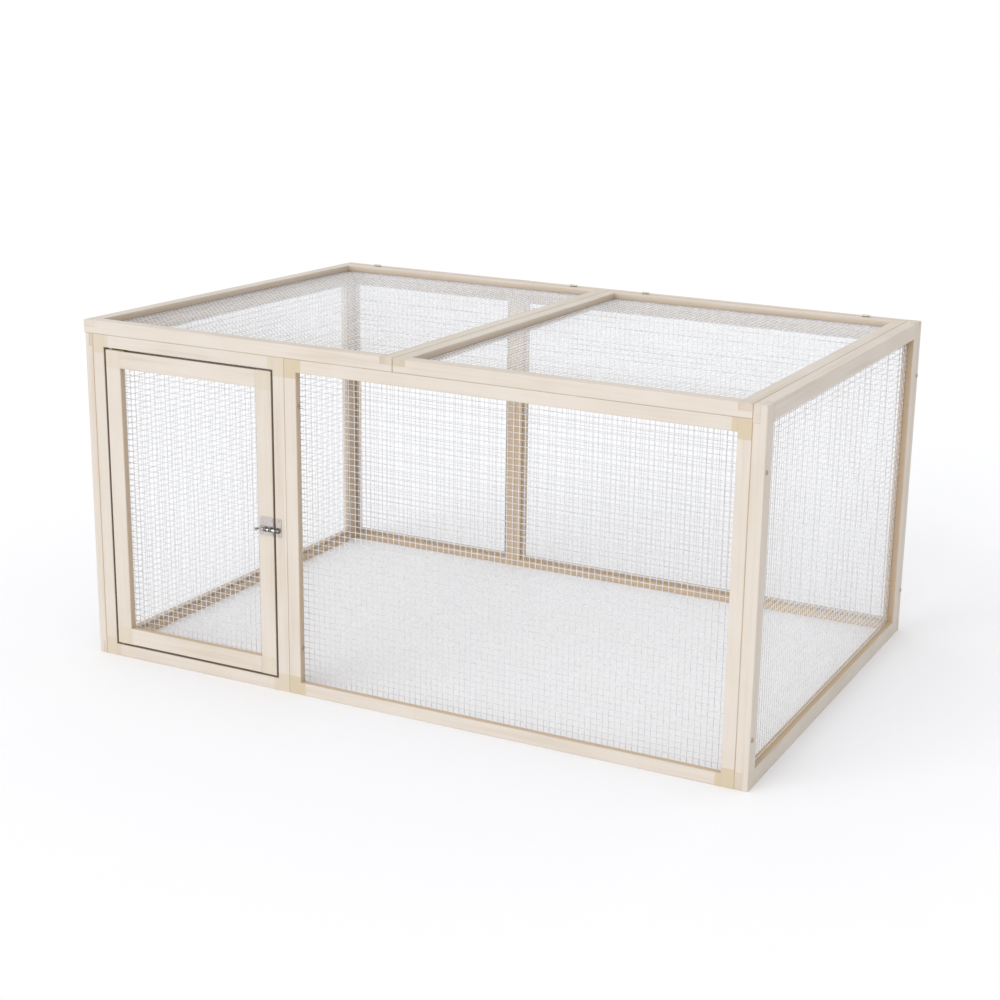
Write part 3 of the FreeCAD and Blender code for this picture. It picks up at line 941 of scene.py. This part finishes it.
@dataclass
class BarrelBolt:
    """A small chromed barrel bolt: a plate with two loops, the bolt, and its keeper."""

    bolt_radius: float = 2.2 * MM
    wall: float = 1.1 * MM
    plate: float = 1 * MM
    loop: float = 5 * MM
    loop_insets: tuple = (1 * MM, 11 * MM)
    keeper_inset: float = 1.5 * MM
    plate_corner: float = 1.8 * MM
    screw_edge: float = 3.2 * MM
    plate_edge: float = 0.2 * MM
    strap_edge: float = 0.25 * MM
    foot: float = 2.2 * MM
    bolt_out: float = 4.2 * MM
    loop_gap: float = 0.1 * MM
    keeper_gap: float = 0.4 * MM
    knob_radius: float = 3 * MM
    knob_back: float = 2.6 * MM
    collar: tuple = (1.5 * MM, 2.4 * MM)
    neck: tuple = (1.15 * MM, 3.2 * MM)

    def __post_init__(self) -> None:
        """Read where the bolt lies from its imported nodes."""
        self.bolt_low, self.bolt_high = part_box("latch_bolt")
        self.plate_low, self.plate_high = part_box("latch_plate")
        self.keeper_low, self.keeper_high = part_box("latch_keeper")
        self.face = self.plate_high.y
        self.height = (self.bolt_low.z + self.bolt_high.z) / 2
        self.line = self.face - self.bolt_out
        self.screws = CrossScrew(1.8 * MM, 0.8 * MM)

    def strap(self, x0: float, inner: float) -> Shell:
        """Bend a strap over the bolt: two feet on the face and a half circle between them.

        Args:
            x0: Where the strap starts along the bolt.
            inner: Its inner radius.

        Returns:
            The shell.
        """
        outer = inner + self.wall
        arc = np.linspace(-math.pi / 2, math.pi / 2, 15)
        rise = self.face - self.plate * 0.5 - self.line
        foot = inner + self.foot

        def line_at(radius: float, lift: float) -> np.ndarray:
            """Trace one face of the strap as height and distance out of the door."""
            round_part = np.stack([radius * np.sin(arc), radius * np.cos(arc)], axis=1)
            start = np.array([(-foot, lift - rise), (-radius - self.strap_edge, lift - rise)])
            return np.concatenate([start, round_part, start[::-1] * np.array([-1, 1])])

        top, under = line_at(outer, self.wall), line_at(inner, 0.0)
        edge = self.strap_edge
        thin = (top + under) / 2
        outline = np.concatenate([top, under[::-1]])
        core = np.concatenate([thin + (top - thin) * 0.7, (thin + (under - thin) * 0.7)[::-1]])
        rings = np.zeros((4, len(outline), 3))
        places = ((core, 0.0), (outline, edge), (outline, self.loop - edge), (core, self.loop))
        for ring, (flat, x) in zip(rings, places):
            ring[:, 0] = x0 + x
            ring[:, 1] = self.line - flat[:, 1]
            ring[:, 2] = self.height + flat[:, 0]
        return capped_tube(rings)

    def build_plate(self, shop: Paintshop) -> None:
        """Build the plate and its two loops on the door."""
        low = Vector((self.plate_low.x, self.face - self.plate, self.plate_low.z))
        plate = [sheet_plate(low, self.plate_high, 1, self.plate_corner, self.plate_edge)]
        loops = [self.strap(self.plate_high.x - inset - self.loop, self.bolt_radius + self.loop_gap)
                 for inset in self.loop_insets]
        self.finish("latch_plate_pressed", plate, "door", "latch_plate", shop)
        # the loops take the near-black finish, painted shade and painted reflection
        self.finish("latch_plate_loops", loops, "door", "latch_plate", shop, Finish.LATCH_LOOP)

    def build_keeper(self, shop: Paintshop) -> None:
        """Build the keeper on the door frame's right stile."""
        low = Vector((self.keeper_low.x, self.face - self.plate, self.keeper_low.z))
        plate = [sheet_plate(low, self.keeper_high, 1, self.plate_corner, self.plate_edge)]
        loop = [self.strap(self.keeper_low.x + self.keeper_inset, self.bolt_radius + self.keeper_gap)]
        self.finish("latch_keeper_pressed", plate, "frame", "latch_keeper", shop)
        # the keeper's loop takes the near-black finish, painted shade and painted reflection
        self.finish("latch_keeper_loop", loop, "frame", "latch_keeper", shop, Finish.LATCH_LOOP)

    def build_bolt(self, shop: Paintshop) -> None:
        """Build the sliding bolt, with its turned knob."""
        length = self.bolt_high.x - self.bolt_low.x - (self.knob_radius - self.knob_back)
        tail = self.bolt_high.x - length
        r = self.bolt_radius
        body = [(r * 0.7, 0), (r * 0.94, 0.2 * MM), (r, 0.5 * MM), (r, length - 1.4 * MM),
                (r * 0.9, length - 0.7 * MM), (r * 0.62, length - 0.15 * MM), (r * 0.4, length)]
        stem_top = self.line - self.bolt_low.y
        k = self.knob_radius
        knob_centre = stem_top - k
        arc = np.linspace(-0.38 * math.pi, 0.5 * math.pi, 14)
        ball = [(max(k * math.cos(a), 0.05 * MM), knob_centre + k * math.sin(a)) for a in arc]
        stem = [(self.collar[0], 0), self.collar, self.neck, (self.neck[0], knob_centre - k)]
        knob_x = tail + self.knob_back
        shells = [turned(body, (tail, self.line, self.height), (1, 0, 0), 28),
                  turned(stem + ball, (knob_x, self.line, self.height), (0, -1, 0), 28)]
        # the bolt takes the blotched finish, whose dark patches are painted reflection
        self.finish("latch_bolt_turned", shells, "bolt", "latch_bolt", shop, Finish.LATCH_BOLT)

    def build_screws(self, shop: Paintshop) -> None:
        """Build the small screws in the plate's corners and at the keeper's ends."""
        heights = (self.plate_low.z + self.screw_edge, self.plate_high.z - self.screw_edge)
        places = (self.plate_low.x + self.screw_edge, self.plate_high.x - self.screw_edge)
        middle = (self.keeper_low.x + self.keeper_high.x) / 2
        seat = self.face - self.plate
        door = [self.screws.head((x, seat, z), (0, -1, 0)) for x in places for z in heights]
        self.finish("latch_screw_heads", door, "door", "latch_screws", shop)
        keeper = [self.screws.head((middle, seat, z), (0, -1, 0)) for z in heights]
        self.finish("keeper_screw_heads", keeper, "frame", "keeper_screws", shop)

    def finish(self, name: str, shells: list, body: str, node: str, shop: Paintshop,
               finish: Finish = Finish.LATCH) -> None:
        """Make the piece, hide the node that it stands for, and plate it."""
        piece = new_piece(name, *join_shells(shells), body, Finish.LATCH.value, smooth=True)
        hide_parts(node)
        shop.dress(piece, finish)
        LOG.info("%s: %d shells on %s", name, len(shells), body)

    def build(self, shop: Paintshop) -> None:
        """Build the whole barrel bolt."""
        self.build_plate(shop)
        self.build_keeper(shop)
        self.build_bolt(shop)
        self.build_screws(shop)


# ---- small fittings


class Fittings:
    """Hinges and pivots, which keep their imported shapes, and a few small extras."""

    KEPT = {
        Finish.HINGE: ("hinge_fixed_leaves", "left_lid_hinge_leaves", "right_lid_hinge_leaves", "hinge_pins",
                       "hinge_fixed_screws", "left_lid_hinge_screws", "right_lid_hinge_screws"),
        Finish.BRASS: ("door_pivot_plates",),
        Finish.PIN: ("door_pivot_pins", "door_pivot_washers"),
    }
    RAIL_STAPLES = (679 * MM, 1107 * MM)
    STAPLE_IN, STAPLE_HANG = 11.6 * MM, 0.4 * MM
    STAPLE_HALF, STAPLE_WIRE = 3 * MM, 0.5 * MM

    def build(self, shop: Paintshop) -> None:
        """Dress the kept nodes and add the tacked ends that show on the front rail."""
        for finish, nodes in self.KEPT.items():
            for node in nodes:
                shop.dress_node(node, finish)
        low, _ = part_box("front_top_rail")
        corner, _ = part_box("left_lid_front_rail")
        half, y, z = self.STAPLE_HALF, low.y + self.STAPLE_IN, low.z - self.STAPLE_HANG
        shells = []
        for x in (corner.x + distance for distance in self.RAIL_STAPLES):
            path = np.array([(x - half, y, z + half), (x - half, y, z), (x + half, y, z),
                             (x + half, y, z + half)])
            shells.append(wire_path(path, self.STAPLE_WIRE, 6))
        piece = new_piece("front_rail_staples", *join_shells(shells), "frame", Finish.PIN.value)
        shop.dress(piece, Finish.PIN)
        LOG.info("fittings: %d rail staples", len(shells))


# ---- studio


@dataclass(frozen=True)
class Studio:
    """A white floor, a very soft low sun and a camera a little to the right of the front."""

    azimuth: float = 24.04
    elevation: float = 15.25
    roll: float = 1.83
    lens: float = 63.78
    sensor: float = 36.0
    place: tuple = (1.3917, -2.6636, 1.1188)
    shift: tuple = (-0.121, -0.0172)
    sun_from: tuple = (-0.32, -0.88, 0.36)
    sun_strength: float = 1.55
    sun_spread: float = 60.0

    def camera(self) -> None:
        """Set the camera, whose back axis points along the azimuth and elevation."""
        data = bpy.data.cameras.new("studio_camera")
        data.lens, data.sensor_width = self.lens, self.sensor
        data.shift_x, data.shift_y = self.shift
        data.clip_end = 200
        turn, tilt, roll = (math.radians(a) for a in (self.azimuth, self.elevation, self.roll))
        back = Vector((math.sin(turn) * math.cos(tilt), -math.cos(turn) * math.cos(tilt), math.sin(tilt)))
        right = Vector((0, 0, 1)).cross(back).normalized()
        up = back.cross(right)
        side = math.cos(roll) * right + math.sin(roll) * up
        top = -math.sin(roll) * right + math.cos(roll) * up
        camera = bpy.data.objects.new("studio_camera", data)
        camera.matrix_world = Matrix.Translation(self.place) @ Matrix((side, top, back)).transposed().to_4x4()
        bpy.context.scene.collection.objects.link(camera)
        bpy.context.scene.camera = camera

    def floor(self) -> None:
        """Lay a wide round floor under the run."""
        angle = np.linspace(0, 2 * math.pi, 96, endpoint=False)
        radii = np.array([0.5, 2.0, 6.0, 20.0, 60.0])[:, None]
        flat = np.stack([radii * np.cos(angle), radii * np.sin(angle), np.zeros((5, 96))], axis=-1)
        mesh = bpy.data.meshes.new("studio_floor")
        mesh.from_pydata(flat.reshape(-1, 3).tolist(), [], grid_faces(5, 96).tolist() + [list(range(96))])
        work = bmesh.new()
        work.from_mesh(mesh)
        bmesh.ops.recalc_face_normals(work, faces=work.faces)
        if sum(face.normal.z for face in work.faces) < 0:
            bmesh.ops.reverse_faces(work, faces=work.faces)
        work.to_mesh(mesh)
        work.free()
        floor = bpy.data.objects.new("studio_floor", mesh)
        bpy.context.scene.collection.objects.link(floor)
        nodes = Nodes("pale_floor")
        nodes.shader.inputs["Base Color"].default_value = (0.86, 0.862, 0.88, 1)
        nodes.shader.inputs["Roughness"].default_value = 0.9
        nodes.shader.inputs["Specular IOR Level"].default_value = 0.1
        mesh.materials.append(nodes.material)

    def sun(self) -> None:
        """Add a wide sun, low over the front, that favours the front faces."""
        data = bpy.data.lights.new("soft_sun", "SUN")
        data.energy, data.angle = self.sun_strength, math.radians(self.sun_spread)
        lamp = bpy.data.objects.new("soft_sun", data)
        aim = -Vector(self.sun_from)
        lamp.matrix_world = aim.to_track_quat("-Z", "Y").to_matrix().to_4x4()
        bpy.context.scene.collection.objects.link(lamp)

    def build(self) -> None:
        """Set up the camera, the floor, the sun and a white surround."""
        self.camera()
        self.floor()
        world = bpy.data.worlds.new("white_surround")
        bpy.context.scene.world = world
        world.use_nodes = True
        world.node_tree.nodes["Background"].inputs["Color"].default_value = (1, 1, 1, 1)
        world.node_tree.nodes["Background"].inputs["Strength"].default_value = 1.0
        self.sun()
        bpy.context.scene.view_settings.view_transform = "Standard"


def main() -> None:
    """Build the run's frames, fittings and studio in order."""
    logging.basicConfig(level=logging.INFO, format="%(name)s %(message)s")
    shop = Paintshop()
    ends = {"sides": ("front_stile", "rear_stile")}
    lids = {"sides": ("left_rail", "right_rail"), "rails": ("front_rail", "rear_rail")}
    # The tones below set how much painted shade each frame's inner faces, groove and gaps get; the inner faces'
    # tan is partly bare wood.
    frames = (
        TimberFrame("left_end", "frame", Facing.LEFT, seed=1, **ends),
        TimberFrame("right_end", "frame", Facing.RIGHT, inner_face_shade_and_tan_tone=1.0,
                    groove_shade=0.75, seed=2, **ends),
        TimberFrame("door_frame", "frame", Facing.FRONT, meshed=False, joint_tone=0.5,
                    inner_shade=0.55, seed=3),
        TimberFrame("front", "frame", Facing.FRONT, joint_tone=0.95, seed=4),
        TimberFrame("back_short", "frame", Facing.BACK, joint_tone=0.5, seed=5),
        TimberFrame("back_long", "frame", Facing.BACK, joint_tone=0.5, seed=6),
        TimberFrame("door", "door", Facing.FRONT, joint_tone=0.3, outer_shade=0.55, seed=7),
        TimberFrame("left_lid", "left_lid", Facing.TOP, inner_face_shade_and_tan_tone=0.4,
                    groove_shade=0.95, seed=8, **lids),
        TimberFrame("right_lid", "right_lid", Facing.TOP, inner_face_shade_and_tan_tone=0.4,
                    groove_shade=0.95, seed=9, **lids),
    )
    for timber_frame in frames:
        timber_frame.build(shop)
    FrameScrews().build(shop)
    BarrelBolt().build(shop)
    Fittings().build(shop)
    Studio().build()


if __name__ == "__main__":
    main()
